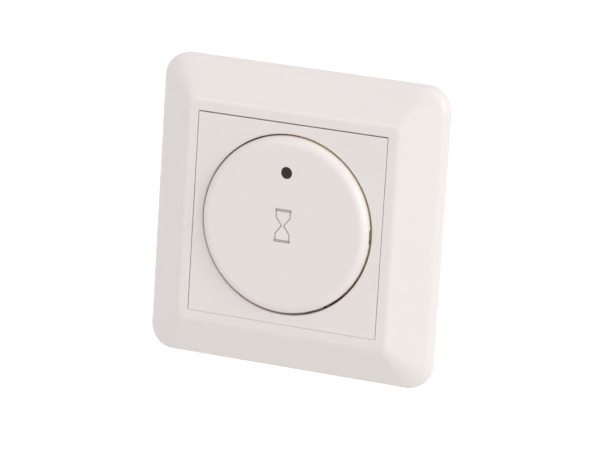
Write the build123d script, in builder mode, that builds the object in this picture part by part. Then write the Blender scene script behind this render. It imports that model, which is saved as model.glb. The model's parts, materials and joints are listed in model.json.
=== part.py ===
from build123d import *

import os
from math import atan2, cos, radians, sqrt, tan

# Ventilation boost timer for a wall box. In front of the wall are a square cover frame, a centre
# plate and a round push button. Behind them an electronic insert hangs on a steel yoke.
# Millimetres. X is to the right, Z is up, and -Y points out of the wall at the viewer.
# The origin is on the wall plane in the middle of the frame. A "height" is a distance in front of
# the wall plane, so a negative height lies inside the wall box.

# Cover frame
frame_side = 85.0
frame_corner_radius = 7.0
frame_height = 9.8
frame_wall = 1.8
shoulder_height = 3.2  # where the slope would meet the side wall, before rounding
shoulder_radius = 3.0
same_height = 0.01  # heights closer than this count as one
land_width = 2.95  # flat land round the opening, up to where the slope would meet it
crest_corner_radius = 1.5
crest_radius = 3.0
ledge_gap = 0.55  # between the ledge behind the opening and the centre plate's collar
ledge_thickness = 1.5
frame_rib_thickness = 1.2
frame_rib_height = 2.4
frame_rib_lift = 0.6
frame_rib_spacing = 40.0
frame_rib_gap = 0.15  # between the ribs and the yoke

# Centre plate
plate_gap = 0.18
plate_web = 2.87  # narrowest part of the plate, beside the well
plate_thickness = 2.0
plate_edge_radius = 0.3
collar_wall = 1.2
leg_width = 6.0
leg_inset = 1.0  # between the well and the legs
leg_housing_gap = 0.9
leg_gap = 0.2
leg_hook = 0.9
leg_hook_height = 1.2
leg_hook_gap = 0.1  # behind the yoke

# Push button
button_radius = 24.85
button_gap = 0.5  # radial, all round the button
button_rise = 2.3  # face above the centre plate
button_rim_radius = 2.5
button_face_thickness = 1.8
button_wall = 1.5
button_travel = 1.2
hook_reach = 1.0
hook_width = 5.0
hook_thickness = 1.0
hook_gap = 0.15  # below the collar, at rest
hook_clearance = 0.45  # above the insert, pressed
hook_slit_width = 0.8
hook_slit_height = 3.0
stem_radius = 2.0
button_rib_thickness = 1.0
button_rib_height = 1.5
button_rib_count = 8
notch_width = 3.8
notch_depth = 1.0
notch_height = 2.3
notch_lift = 0.2  # upper edge above the centre plate's face

# LED window in the button
led_hole_radius = 1.7
led_hole_depth = 1.1
lens_radius = 2.15
lens_thickness = 1.2
lens_recess = 0.3  # nose of the lens below the button's face
lens_fit = 0.05
lens_boss_wall = 0.8
lens_boss_lip = 0.2  # boss past the lens

# Return springs
spring_offset = 12.5  # from the centre, along X and along Z
spring_radius = 1.9  # to the middle of the wire
spring_wire_radius = 0.2
spring_turns = 7
spring_seat_gap = 0.05
spring_post_radius = 1.4
spring_post_height = 1.5

# Mounting yoke
yoke_side = 71.0
yoke_corner = 9.0
yoke_thickness = 1.0
yoke_gap = 0.15  # round the housing
box_screw_spacing = 60.0
box_slot_width = 4.2
box_slot_length = 8.0

# Insert housing and its front cover
housing_side = 44.0
housing_unit = housing_side / 44.0  # a millimetre of the real housing: what it holds grows with it
housing_corner = 9.5 * housing_unit
housing_depth = 24.0
housing_wall = 1.5
housing_floor = 1.5
board_step = 0.8  # extra wall that carries the power board
cover_rim = 1.5  # cover past the housing
cover_leg_gap = 0.65
cover_thickness = 1.2
ear_radius = 2.6
ear_depth = 7.0
ear_inset = 0.5  # from the corner cut
screw_radius = 1.2
screw_fit = 0.05
screw_head_radius = 2.1
screw_head_angle = 90.0
screw_length = 8.0
screw_slot_width = 0.6
screw_slot_depth = 0.5
screw_clearance = 0.3
nub_radius = 1.0
nub_offset_x = 17.5 * housing_unit
nub_offset_z = 7.5 * housing_unit

# Circuit boards
board_thickness = 1.6
board_gap = 0.3  # between a board's edge and the housing
control_board_drop = 1.6  # below the housing cover
board_spacing = 3.2  # between the two boards
spacer_radius = 1.5
spacer_offset_x = 17.0 * housing_unit
spacer_offset_z = 9.0 * housing_unit

# Switch, LED, trimmer and timing chip on the control board
switch_side = 6.0
switch_height = 3.5
plunger_radius = 1.7
plunger_rise = 1.0
plunger_depth = 0.7
plunger_well_depth = 1.4
plunger_fit = 0.05
plunger_travel = 0.3
stem_gap = 0.05  # to the plunger, pressed
switch_window_gap = 0.4
led_offset = 14.9 * housing_unit  # above the centre; the button's window lies in line with it
led_radius = 1.5
led_flange_radius = 1.9
led_flange_height = 1.0
led_height = 5.3
led_clearance = 0.6  # below the lens, pressed
led_spacer_radius = 2.2
led_window_gap = 0.3
led_lead_side = 0.5
led_lead_spacing = 2.54
led_lead_overhang = 0.8
led_lead_hole_radius = 0.45
led_dome_flat = 0.1
trimmer_side = 6.6
trimmer_height = 3.0
trimmer_x = -13.0 * housing_unit
rotor_radius = 2.2
rotor_height = 1.5
rotor_recess = 0.1
rotor_fit = 0.05
rotor_slot_width = 0.7
rotor_slot_depth = 0.7
trimmer_window_gap = 0.3
chip_width = 5.0
chip_depth = 4.0
chip_height = 1.4
chip_x = 10.5 * housing_unit
chip_leg_count = 4
chip_leg_pitch = 1.27
chip_leg_width = 0.4
chip_leg_reach = 1.0
chip_leg_thickness = 0.2

# Pin strip between the boards
pin_count = 6
pin_pitch = 2.54
pin_side = 0.64
pin_fit = 0.02
pin_hole_radius = 0.5
pin_overhang = 0.8
header_z = 18.3 * housing_unit
header_width = 2.4
header_height = 2.5

# Parts on the back of the power board
case_edge_radius = 0.6
relay_width = 19.0 * housing_unit
relay_depth = 15.5 * housing_unit
relay_clearance = 0.3
relay_x = -9.0 * housing_unit
relay_z = 1.8 * housing_unit
dropper_width = 6.0 * housing_unit
dropper_depth = 13.0 * housing_unit
dropper_height = 12.0
dropper_x = 5.6 * housing_unit
dropper_z = 0.8 * housing_unit
smoothing_radius = 4.0 * housing_unit
smoothing_height = 11.5
smoothing_edge_radius = 0.5
smoothing_x = 14.2 * housing_unit
smoothing_z = -0.5 * housing_unit
fuse_radius = 3.8 * housing_unit
fuse_height = 8.0
fuse_x = 13.4 * housing_unit
fuse_z = 10.8 * housing_unit
varistor_radius = 4.5 * housing_unit
varistor_thickness = 3.4 * housing_unit
varistor_x = -2.0 * housing_unit
varistor_z = 13.8 * housing_unit
bridge_side = 6.2 * housing_unit
bridge_height = 3.3
bridge_x = -10.2 * housing_unit
bridge_z = 13.6 * housing_unit
resistor_radius = 1.5 * housing_unit
resistor_length = 7.0 * housing_unit
resistor_x = 6.7 * housing_unit
resistor_z = 16.0 * housing_unit
resistor_lead_radius = 0.3

# Screw terminals
pole_count = 4
pole_pitch = 6.2 * housing_unit
block_top = -8.0 * housing_unit
block_corner_gap = 0.3
clamp_width = 4.5
clamp_gap = 0.1
clamp_length = 7.0
clamp_drop = 6.4  # top to bottom
clamp_roof = 0.5
wire_radius = 1.5  # hole in the clamp, for the bare wire
wire_funnel_radius = 2.0  # hole in the block, for the wire with its insulation
block_back_wall = 1.9
block_window_gap = 0.2  # between the block and its window in the housing's floor
terminal_screw_radius = 1.25
terminal_head_radius = 1.9
terminal_head_height = 1.3
terminal_head_recess = 0.2
terminal_slot_depth = 0.65
terminal_head_gap = 0.6  # between head and clamp, screw open
terminal_screw_tip_gap = 0.2  # between tip and wire way, screw open
terminal_well_gap = 0.2
driver_hole_radius = 2.2
solder_pin_side = 1.0
solder_hole_radius = 0.8

# Heights that follow from the sizes
plate_back = frame_height - plate_thickness
ledge_back = plate_back - ledge_thickness
cover_front = yoke_thickness + cover_thickness
hook_bottom = cover_front + hook_clearance + button_travel
hook_top = hook_bottom + hook_thickness
collar_bottom = hook_top + hook_gap
button_face = frame_height + button_rise
face_back = button_face - button_face_thickness
lens_front = button_face - led_hole_depth
lens_back = lens_front - lens_thickness
boss_back = lens_back - lens_boss_lip
control_front = yoke_thickness - control_board_drop
control_back = control_front - board_thickness
power_front = control_back - board_spacing
power_back = power_front - board_thickness
housing_floor_front = -housing_depth + housing_floor
switch_top = control_front + switch_height
plunger_top = switch_top + plunger_rise
stem_tip = plunger_top + button_travel - plunger_travel + stem_gap
led_top = lens_back - button_travel - led_clearance
led_base = led_top - led_height
trimmer_top = control_front + trimmer_height
rotor_top = trimmer_top - rotor_recess
rotor_bottom = rotor_top - rotor_height

# Radii and sides that follow from the sizes
well_radius = button_radius + button_gap
collar_radius = well_radius + collar_wall
plate_side = 2 * (well_radius + plate_web)
opening_side = plate_side + 2 * plate_gap
crest_side = opening_side + 2 * land_width
ledge_side = 2 * (collar_radius + ledge_gap)
leg_inner = max(well_radius + leg_inset, (housing_side - housing_corner) / sqrt(2) + leg_housing_gap)
leg_outer = leg_inner + collar_wall
slope_angle = atan2(frame_height - shoulder_height, (frame_side - crest_side) / 2)
cavity_side = frame_side - 2 * frame_wall
cavity_shoulder = shoulder_height + frame_wall * (tan(slope_angle) - 1 / cos(slope_angle))
cavity_top_side = cavity_side - 2 * (ledge_back - cavity_shoulder) / tan(slope_angle)
cavity_corner_radius = frame_corner_radius - frame_wall
board_side = housing_side - 2 * (housing_wall + board_gap)
cover_side = housing_side + 2 * cover_rim
cover_corner = cover_side - (leg_inner - cover_leg_gap) * sqrt(2)
screw_offset_x = housing_side / 2 - housing_corner - ear_inset
screw_offset_z = housing_side / 2 + ear_radius
pole_x = [(pole - (pole_count - 1) / 2) * pole_pitch for pole in range(pole_count)]
screw_points = [(x * screw_offset_x, z * screw_offset_z) for x in (-1, 1) for z in (-1, 1)]
spring_points = [(x * spring_offset, z * spring_offset) for x in (-1, 1) for z in (-1, 1)]
spacer_points = [(x * spacer_offset_x, z * spacer_offset_z) for x in (-1, 1) for z in (-1, 1)]
nub_points = [(x * nub_offset_x, z * nub_offset_z) for x in (-1, 1) for z in (-1, 1)]
pin_points = [((pin - (pin_count - 1) / 2) * pin_pitch, header_z) for pin in range(pin_count)]


def cut_corner(wall):
    """Corner cut of the housing outline, moved inwards by a wall."""
    return housing_corner - wall * (2 - sqrt(2))


def at_height(height):
    """Plane parallel to the wall, seen from the front."""
    return Plane.XZ.offset(height)


def screw_ears(web_end):
    """Round ears at the four screws, each on a web that starts at web_end from the middle."""
    with Locations(*screw_points):
        Circle(ear_radius)
    for x, z in screw_points:
        web_middle = (screw_offset_z + web_end) / 2
        with Locations((x, web_middle if z > 0 else -web_middle)):
            Rectangle(2 * ear_radius, screw_offset_z - web_end)


# The terminal block stands in the lower end of the housing and clears its cut corners
block_width = pole_count * pole_pitch
step_wall = housing_wall + board_step
block_bottom = -(
    housing_side - 2 * step_wall - cut_corner(step_wall) - block_width / 2 - block_corner_gap * sqrt(2)
)
clamp_bottom = block_bottom + terminal_head_recess + terminal_head_height + terminal_head_gap
clamp_top = clamp_bottom + clamp_drop
wire_z = clamp_top - clamp_roof - wire_radius
block_back = -housing_depth
chamber_back = block_back + block_back_wall
clamp_back = chamber_back + clamp_gap
clamp_front = clamp_back + clamp_length
clamp_middle = (clamp_back + clamp_front) / 2
screw_tip = wire_z - wire_radius - terminal_screw_tip_gap
head_top = clamp_bottom - terminal_head_gap
wire_points = [(x, wire_z) for x in pole_x]
clamp_points = [(x, (clamp_top + clamp_bottom) / 2) for x in pole_x]
driver_points = [(x, -clamp_middle) for x in pole_x]  # seen from above

os.makedirs("parts", exist_ok=True)

# Cover frame: a hollow lid with sloped borders, a flat land and a ledge for the centre plate
with BuildPart() as cover_frame:
    with BuildSketch(at_height(0)):
        RectangleRounded(frame_side, frame_side, frame_corner_radius)
    extrude(amount=shoulder_height)
    with BuildSketch(at_height(shoulder_height)):
        RectangleRounded(frame_side, frame_side, frame_corner_radius)
    with BuildSketch(at_height(frame_height)):
        RectangleRounded(crest_side, crest_side, crest_corner_radius)
    loft(ruled=True)
    crest_edges = cover_frame.faces().sort_by(Axis.Y)[0].edges()
    fillet(crest_edges, crest_radius)
    shoulder_edges = cover_frame.edges().filter_by(
        lambda edge: abs(edge.center().Y + shoulder_height) < same_height
    )
    fillet(shoulder_edges, shoulder_radius)
    # Cavity behind the borders
    with BuildSketch(at_height(0)):
        RectangleRounded(cavity_side, cavity_side, cavity_corner_radius)
    extrude(amount=cavity_shoulder, mode=Mode.SUBTRACT)
    with BuildSketch(at_height(cavity_shoulder)):
        RectangleRounded(cavity_side, cavity_side, cavity_corner_radius)
    with BuildSketch(at_height(ledge_back)):
        RectangleRounded(cavity_top_side, cavity_top_side, crest_corner_radius)
    loft(ruled=True, mode=Mode.SUBTRACT)
    # Opening, wide in front and narrow behind
    with BuildSketch(at_height(plate_back)):
        Rectangle(opening_side, opening_side)
    extrude(amount=plate_thickness, mode=Mode.SUBTRACT)
    with BuildSketch(at_height(ledge_back)):
        Rectangle(ledge_side, ledge_side)
    extrude(amount=ledge_thickness, mode=Mode.SUBTRACT)
    # Ribs that centre the frame on the yoke
    rib_inner = yoke_side / 2 + frame_rib_gap
    rib_outer = frame_side / 2 - frame_wall / 2
    with BuildSketch(at_height(frame_rib_lift)):
        with PolarLocations((rib_inner + rib_outer) / 2, 4):
            with Locations((0, -frame_rib_spacing / 2), (0, frame_rib_spacing / 2)):
                Rectangle(rib_outer - rib_inner, frame_rib_thickness)
    extrude(amount=frame_rib_height)
cover_frame.part.label = "cover_frame"
export_step(cover_frame.part, "parts/cover_frame.step")

# Centre plate: square face with the well of the button, a collar and four snap legs
with BuildPart() as centre_plate:
    with BuildSketch(at_height(plate_back)):
        Rectangle(plate_side, plate_side)
        Circle(well_radius, mode=Mode.SUBTRACT)
    extrude(amount=plate_thickness)
    fillet(centre_plate.faces().sort_by(Axis.Y)[0].edges(), plate_edge_radius)
    with BuildSketch(at_height(collar_bottom)):
        Circle(collar_radius)
        Circle(well_radius, mode=Mode.SUBTRACT)
    extrude(amount=plate_back - collar_bottom)
    leg_bottom = -leg_hook_gap - leg_hook_height
    with BuildSketch(at_height(leg_bottom)):
        with PolarLocations((leg_inner + leg_outer) / 2, 4, start_angle=45):
            Rectangle(collar_wall, leg_width)
    extrude(amount=plate_back - leg_bottom)
    with BuildSketch(at_height(leg_bottom)):
        with PolarLocations((leg_inner + leg_outer + leg_hook) / 2, 4, start_angle=45):
            Rectangle(collar_wall + leg_hook, leg_width)
    extrude(amount=leg_hook_height)
centre_plate.part.label = "centre_plate"
export_step(centre_plate.part, "parts/centre_plate.step")

# Push button: a round cap with a soft rim, which slides in the well
with BuildPart() as push_button:
    with BuildSketch(at_height(hook_bottom)):
        Circle(button_radius)
    extrude(amount=button_face - hook_bottom)
    fillet(push_button.faces().sort_by(Axis.Y)[0].edges(), button_rim_radius)
    with BuildSketch(at_height(hook_bottom)):
        Circle(button_radius - button_wall)
    extrude(amount=face_back - hook_bottom, mode=Mode.SUBTRACT)
    # Snap hooks under the collar, each between two slits
    with BuildSketch(at_height(hook_bottom)):
        with PolarLocations(button_radius - button_wall / 2, 4):
            Rectangle(button_wall + 2 * hook_reach, hook_width)
        Circle(button_radius - button_wall / 2, mode=Mode.SUBTRACT)
    extrude(amount=hook_thickness)
    slit_turn = (hook_width + hook_slit_width) / 2
    with BuildSketch(at_height(hook_bottom)):
        with PolarLocations(button_radius, 4):
            with Locations((0, slit_turn), (0, -slit_turn)):
                Rectangle(2 * (button_wall + hook_reach), hook_slit_width)
    extrude(amount=hook_slit_height, mode=Mode.SUBTRACT)
    # Stem that presses the switch, ribs and spring posts under the face
    with BuildSketch(at_height(stem_tip)):
        Circle(stem_radius)
    extrude(amount=face_back - stem_tip)
    rib_length = button_radius - button_wall / 2
    with BuildSketch(at_height(face_back - button_rib_height)):
        with PolarLocations(rib_length / 2, button_rib_count, start_angle=180 / button_rib_count):
            Rectangle(rib_length, button_rib_thickness)
    extrude(amount=button_rib_height)
    with BuildSketch(at_height(face_back - spring_post_height)):
        with Locations(*spring_points):
            Circle(spring_post_radius)
    extrude(amount=spring_post_height)
    # LED hole with a stepped seat for the lens
    with BuildSketch(at_height(boss_back)):
        with Locations((0, led_offset)):
            Circle(lens_radius + lens_fit + lens_boss_wall)
    extrude(amount=face_back - boss_back)
    with BuildSketch(at_height(boss_back)):
        with Locations((0, led_offset)):
            Circle(lens_radius + lens_fit)
    extrude(amount=lens_front - boss_back, mode=Mode.SUBTRACT)
    with BuildSketch(at_height(lens_front)):
        with Locations((0, led_offset)):
            Circle(led_hole_radius)
    extrude(amount=led_hole_depth, mode=Mode.SUBTRACT)
    # Pry notch in the rim, at three o'clock
    with BuildSketch(at_height(frame_height + notch_lift - notch_height)):
        with Locations((button_radius, 0)):
            Rectangle(2 * notch_depth, notch_width)
    extrude(amount=notch_height, mode=Mode.SUBTRACT)
push_button.part.label = "push_button"
export_step(push_button.part, "parts/push_button.step")

# Lens: a smoked disc in the stepped hole of the button, with a nose that fills the hole
with BuildPart() as led_lens:
    with BuildSketch(at_height(lens_back)):
        with Locations((0, led_offset)):
            Circle(lens_radius)
    extrude(amount=lens_thickness)
    with BuildSketch(at_height(lens_front)):
        with Locations((0, led_offset)):
            Circle(led_hole_radius - lens_fit)
    extrude(amount=led_hole_depth - lens_recess)
led_lens.part.label = "led_lens"
export_step(led_lens.part, "parts/led_lens.step")

# Return springs: four coils between the housing cover and the button
spring_bottom = cover_front + spring_wire_radius + spring_seat_gap
spring_length = face_back - spring_wire_radius - spring_seat_gap - spring_bottom
spring_pitch = spring_length / spring_turns
with BuildPart(mode=Mode.PRIVATE) as spring:
    with BuildLine():
        coil_start = (0, -spring_bottom, 0)
        coil = Helix(spring_pitch, spring_length, spring_radius, center=coil_start, direction=(0, -1, 0))
    with BuildSketch(Plane(coil @ 0, z_dir=coil % 0)):
        Circle(spring_wire_radius)
    sweep(is_frenet=True)
with BuildPart() as return_springs:
    for x, z in spring_points:
        add(spring.part.moved(Location((x, 0, z))))
return_springs.part.label = "return_springs"
export_step(return_springs.part, "parts/return_springs.step")

# Mounting yoke: steel plate on the wall with four slots for the wall-box screws
with BuildPart() as mounting_yoke:
    with BuildSketch(at_height(0)) as yoke_face:
        Rectangle(yoke_side, yoke_side)
        chamfer(yoke_face.vertices(), yoke_corner)
    extrude(amount=yoke_thickness)
    with BuildSketch(at_height(0)) as yoke_window:
        Rectangle(housing_side + 2 * yoke_gap, housing_side + 2 * yoke_gap)
        chamfer(yoke_window.vertices(), cut_corner(-yoke_gap))
        with PolarLocations((leg_outer + leg_gap) / 2, 4, start_angle=45):
            Rectangle(leg_outer + leg_gap, leg_width + 2 * leg_gap)
    extrude(amount=yoke_thickness, mode=Mode.SUBTRACT)
    with BuildSketch(at_height(0)):
        with PolarLocations(box_screw_spacing / 2, 4):
            SlotOverall(box_slot_length, box_slot_width)
        with Locations(*screw_points):
            Circle(screw_radius + screw_clearance)
    extrude(amount=yoke_thickness, mode=Mode.SUBTRACT)
mounting_yoke.part.label = "mounting_yoke"
export_step(mounting_yoke.part, "parts/mounting_yoke.step")

# Rear housing: deep case in the wall box, with screw ears, a window for the terminal block and holes
# for the screwdriver
with BuildPart() as rear_housing:
    with BuildSketch(at_height(-housing_depth)) as housing_outline:
        Rectangle(housing_side, housing_side)
        chamfer(housing_outline.vertices(), housing_corner)
    extrude(amount=housing_depth + yoke_thickness)
    with BuildSketch(at_height(-ear_depth)):
        screw_ears(housing_side / 2 - housing_wall / 2)
    extrude(amount=ear_depth)
    with BuildSketch(at_height(power_back)) as board_room:
        Rectangle(housing_side - 2 * housing_wall, housing_side - 2 * housing_wall)
        chamfer(board_room.vertices(), cut_corner(housing_wall))
    extrude(amount=yoke_thickness - power_back, mode=Mode.SUBTRACT)
    with BuildSketch(at_height(housing_floor_front)) as part_room:
        Rectangle(housing_side - 2 * step_wall, housing_side - 2 * step_wall)
        chamfer(part_room.vertices(), cut_corner(step_wall))
    extrude(amount=power_back - housing_floor_front, mode=Mode.SUBTRACT)
    with BuildSketch(at_height(-ear_depth)):
        with Locations(*screw_points):
            Circle(screw_radius + screw_fit)
    extrude(amount=ear_depth, mode=Mode.SUBTRACT)
    with BuildSketch(at_height(block_back)):
        with Locations((0, (block_top + block_bottom) / 2)):
            Rectangle(block_width + 2 * block_window_gap, block_top - block_bottom + 2 * block_window_gap)
    extrude(amount=housing_floor, mode=Mode.SUBTRACT)
    with BuildSketch(Plane.XY.offset(-housing_side / 2)):
        with Locations(*driver_points):
            Circle(driver_hole_radius)
    extrude(amount=step_wall, mode=Mode.SUBTRACT)
rear_housing.part.label = "rear_housing"
export_step(rear_housing.part, "parts/rear_housing.step")

# Housing cover: front of the insert, with windows for switch, LED and trimmer
with BuildPart() as housing_cover:
    with BuildSketch(at_height(yoke_thickness)) as cover_outline:
        Rectangle(cover_side, cover_side)
        chamfer(cover_outline.vertices(), cover_corner)
        screw_ears(cover_side / 2 - ear_radius / 2)
    extrude(amount=cover_thickness)
    with BuildSketch(at_height(cover_front)):
        with Locations(*spring_points):
            Circle(spring_post_radius)
    extrude(amount=spring_post_height)
    with BuildSketch(at_height(control_front)):
        with Locations(*nub_points):
            Circle(nub_radius)
    extrude(amount=control_board_drop)
    with BuildSketch(at_height(yoke_thickness)):
        Rectangle(switch_side + 2 * switch_window_gap, switch_side + 2 * switch_window_gap)
        with Locations((trimmer_x, 0)):
            Rectangle(trimmer_side + 2 * trimmer_window_gap, trimmer_side + 2 * trimmer_window_gap)
        with Locations((0, led_offset)):
            Circle(led_spacer_radius + led_window_gap)
    extrude(amount=cover_thickness, mode=Mode.SUBTRACT)
    head_planes = [Plane((x, -cover_front, z), x_dir=(1, 0, 0), z_dir=(0, -1, 0)) for x, z in screw_points]
    with Locations(*head_planes):
        CounterSinkHole(
            screw_radius + screw_clearance,
            screw_head_radius + screw_fit,
            cover_thickness,
            counter_sink_angle=screw_head_angle,
        )
housing_cover.part.label = "housing_cover"
export_step(housing_cover.part, "parts/housing_cover.step")

# Housing screws: four countersunk screws through cover and yoke into the ears
head_height = (screw_head_radius - screw_radius) / tan(radians(screw_head_angle / 2))
with BuildPart(mode=Mode.PRIVATE) as screw:
    with BuildSketch(at_height(cover_front - screw_length)):
        Circle(screw_radius)
    extrude(amount=screw_length)
    with BuildSketch(at_height(cover_front - head_height)):
        Circle(screw_radius)
    with BuildSketch(at_height(cover_front)):
        Circle(screw_head_radius)
    loft()
    with BuildSketch(at_height(cover_front - screw_slot_depth)):
        Rectangle(2 * screw_head_radius, screw_slot_width)
    extrude(amount=screw_slot_depth, mode=Mode.SUBTRACT)
with BuildPart() as housing_screws:
    for x, z in screw_points:
        add(screw.part.moved(Location((x, 0, z))))
housing_screws.part.label = "housing_screws"
export_step(housing_screws.part, "parts/housing_screws.step")

# Control board: carries switch, LED, trimmer and timing chip
led_lead_points = [(side * led_lead_spacing / 2, led_offset) for side in (-1, 1)]
with BuildPart() as control_board:
    with BuildSketch(at_height(control_back)) as control_outline:
        Rectangle(board_side, board_side)
        chamfer(control_outline.vertices(), cut_corner(housing_wall + board_gap))
        with Locations(*pin_points):
            Circle(pin_hole_radius, mode=Mode.SUBTRACT)
        with Locations(*led_lead_points):
            Circle(led_lead_hole_radius, mode=Mode.SUBTRACT)
    extrude(amount=board_thickness)
control_board.part.label = "control_board"
export_step(control_board.part, "parts/control_board.step")

# Power board: carries the relay, the mains supply and the terminals
with BuildPart() as power_board:
    with BuildSketch(at_height(power_back)) as power_outline:
        Rectangle(board_side, board_side)
        chamfer(power_outline.vertices(), cut_corner(housing_wall + board_gap))
        with Locations(*pin_points):
            Circle(pin_hole_radius, mode=Mode.SUBTRACT)
        with Locations(*wire_points):
            Circle(solder_hole_radius, mode=Mode.SUBTRACT)
    extrude(amount=board_thickness)
power_board.part.label = "power_board"
export_step(power_board.part, "parts/power_board.step")

# Board spacers: four short posts that keep the boards apart
with BuildPart() as board_spacers:
    with BuildSketch(at_height(power_front)):
        with Locations(*spacer_points):
            Circle(spacer_radius)
    extrude(amount=board_spacing)
board_spacers.part.label = "board_spacers"
export_step(board_spacers.part, "parts/board_spacers.step")

# Pin strip that joins the boards: plastic body and square pins
with BuildPart() as board_header:
    with BuildSketch(at_height(control_back - header_height)):
        with Locations((0, header_z)):
            Rectangle(pin_count * pin_pitch, header_width)
        with Locations(*pin_points):
            Rectangle(pin_side + 2 * pin_fit, pin_side + 2 * pin_fit, mode=Mode.SUBTRACT)
    extrude(amount=header_height)
board_header.part.label = "board_header"
export_step(board_header.part, "parts/board_header.step")

with BuildPart() as header_pins:
    with BuildSketch(at_height(power_back - pin_overhang)):
        with Locations(*pin_points):
            Rectangle(pin_side, pin_side)
    extrude(amount=control_front - power_back + 2 * pin_overhang)
header_pins.part.label = "header_pins"
export_step(header_pins.part, "parts/header_pins.step")

# Push switch under the button's stem: body with a well, and its plunger
with BuildPart() as tact_switch_body:
    with BuildSketch(at_height(control_front)):
        Rectangle(switch_side, switch_side)
    extrude(amount=switch_height)
    with BuildSketch(at_height(switch_top - plunger_well_depth)):
        Circle(plunger_radius + plunger_fit)
    extrude(amount=plunger_well_depth, mode=Mode.SUBTRACT)
tact_switch_body.part.label = "tact_switch_body"
export_step(tact_switch_body.part, "parts/tact_switch_body.step")

with BuildPart() as tact_switch_plunger:
    with BuildSketch(at_height(switch_top - plunger_depth)):
        Circle(plunger_radius)
    extrude(amount=plunger_depth + plunger_rise)
tact_switch_plunger.part.label = "tact_switch_plunger"
export_step(tact_switch_plunger.part, "parts/tact_switch_plunger.step")

# LED under the lens: flange, domed body and two leads through its spacer
with BuildPart() as indicator_led:
    with BuildSketch(at_height(led_base)):
        with Locations((0, led_offset)):
            Circle(led_radius)
    extrude(amount=led_height)
    fillet(indicator_led.faces().sort_by(Axis.Y)[0].edges(), led_radius - led_dome_flat)
    with BuildSketch(at_height(led_base)):
        with Locations((0, led_offset)):
            Circle(led_flange_radius)
    extrude(amount=led_flange_height)
    with BuildSketch(at_height(control_back - led_lead_overhang)):
        with Locations(*led_lead_points):
            Rectangle(led_lead_side, led_lead_side)
    extrude(amount=led_base - control_back + led_lead_overhang)
indicator_led.part.label = "indicator_led"
export_step(indicator_led.part, "parts/indicator_led.step")

with BuildPart() as led_spacer:
    with BuildSketch(at_height(control_front)):
        with Locations((0, led_offset)):
            Circle(led_spacer_radius)
        with Locations(*led_lead_points):
            Circle(led_lead_hole_radius, mode=Mode.SUBTRACT)
    extrude(amount=led_base - control_front)
led_spacer.part.label = "led_spacer"
export_step(led_spacer.part, "parts/led_spacer.step")

# Run-time trimmer: square body with a round well, and the rotor with its screwdriver slot
with BuildPart() as time_trimmer_body:
    with BuildSketch(at_height(control_front)):
        with Locations((trimmer_x, 0)):
            Rectangle(trimmer_side, trimmer_side)
    extrude(amount=trimmer_height)
    with BuildSketch(at_height(rotor_bottom - rotor_fit)):
        with Locations((trimmer_x, 0)):
            Circle(rotor_radius + rotor_fit)
    extrude(amount=trimmer_top - rotor_bottom + rotor_fit, mode=Mode.SUBTRACT)
time_trimmer_body.part.label = "time_trimmer_body"
export_step(time_trimmer_body.part, "parts/time_trimmer_body.step")

with BuildPart() as time_trimmer_rotor:
    with BuildSketch(at_height(rotor_bottom)):
        with Locations((trimmer_x, 0)):
            Circle(rotor_radius)
    extrude(amount=rotor_height)
    with BuildSketch(at_height(rotor_top - rotor_slot_depth)):
        with Locations((trimmer_x, 0)):
            Rectangle(rotor_slot_width, 2 * rotor_radius)
        with Locations((trimmer_x + rotor_radius / 2, 0)):
            Rectangle(rotor_radius, rotor_slot_width)
    extrude(amount=rotor_slot_depth, mode=Mode.SUBTRACT)
time_trimmer_rotor.part.label = "time_trimmer_rotor"
export_step(time_trimmer_rotor.part, "parts/time_trimmer_rotor.step")

# Timing chip: flat package with a row of legs on each side
chip_leg_offset = (chip_depth + chip_leg_reach) / 2
leg_points = [
    (chip_x + side * chip_leg_offset, (leg - (chip_leg_count - 1) / 2) * chip_leg_pitch)
    for side in (-1, 1)
    for leg in range(chip_leg_count)
]
with BuildPart() as microcontroller:
    with BuildSketch(at_height(control_front)):
        with Locations((chip_x, 0)):
            Rectangle(chip_depth, chip_width)
    extrude(amount=chip_height)
    with BuildSketch(at_height(control_front)):
        with Locations(*leg_points):
            Rectangle(chip_leg_reach, chip_leg_width)
    extrude(amount=chip_leg_thickness)
microcontroller.part.label = "microcontroller"
export_step(microcontroller.part, "parts/microcontroller.step")

# Relay that switches the fan
relay_back = housing_floor_front + relay_clearance
with BuildPart() as relay:
    with BuildSketch(at_height(relay_back)):
        with Locations((relay_x, relay_z)):
            Rectangle(relay_width, relay_depth)
    extrude(amount=power_back - relay_back)
    fillet(relay.edges().filter_by(Axis.Y), case_edge_radius)
relay.part.label = "relay"
export_step(relay.part, "parts/relay.step")

# Mains supply: dropper capacitor, smoothing capacitor, rectifier, varistor, fuse and resistor
with BuildPart() as dropper_capacitor:
    with BuildSketch(at_height(power_back - dropper_height)):
        with Locations((dropper_x, dropper_z)):
            Rectangle(dropper_width, dropper_depth)
    extrude(amount=dropper_height)
    fillet(dropper_capacitor.edges().filter_by(Axis.Y), case_edge_radius)
dropper_capacitor.part.label = "dropper_capacitor"
export_step(dropper_capacitor.part, "parts/dropper_capacitor.step")

with BuildPart() as smoothing_capacitor:
    with BuildSketch(at_height(power_back - smoothing_height)):
        with Locations((smoothing_x, smoothing_z)):
            Circle(smoothing_radius)
    extrude(amount=smoothing_height)
    fillet(smoothing_capacitor.faces().sort_by(Axis.Y)[-1].edges(), smoothing_edge_radius)
smoothing_capacitor.part.label = "smoothing_capacitor"
export_step(smoothing_capacitor.part, "parts/smoothing_capacitor.step")

with BuildPart() as bridge_rectifier:
    with BuildSketch(at_height(power_back - bridge_height)):
        with Locations((bridge_x, bridge_z)):
            Rectangle(bridge_side, bridge_side)
    extrude(amount=bridge_height)
bridge_rectifier.part.label = "bridge_rectifier"
export_step(bridge_rectifier.part, "parts/bridge_rectifier.step")

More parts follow.
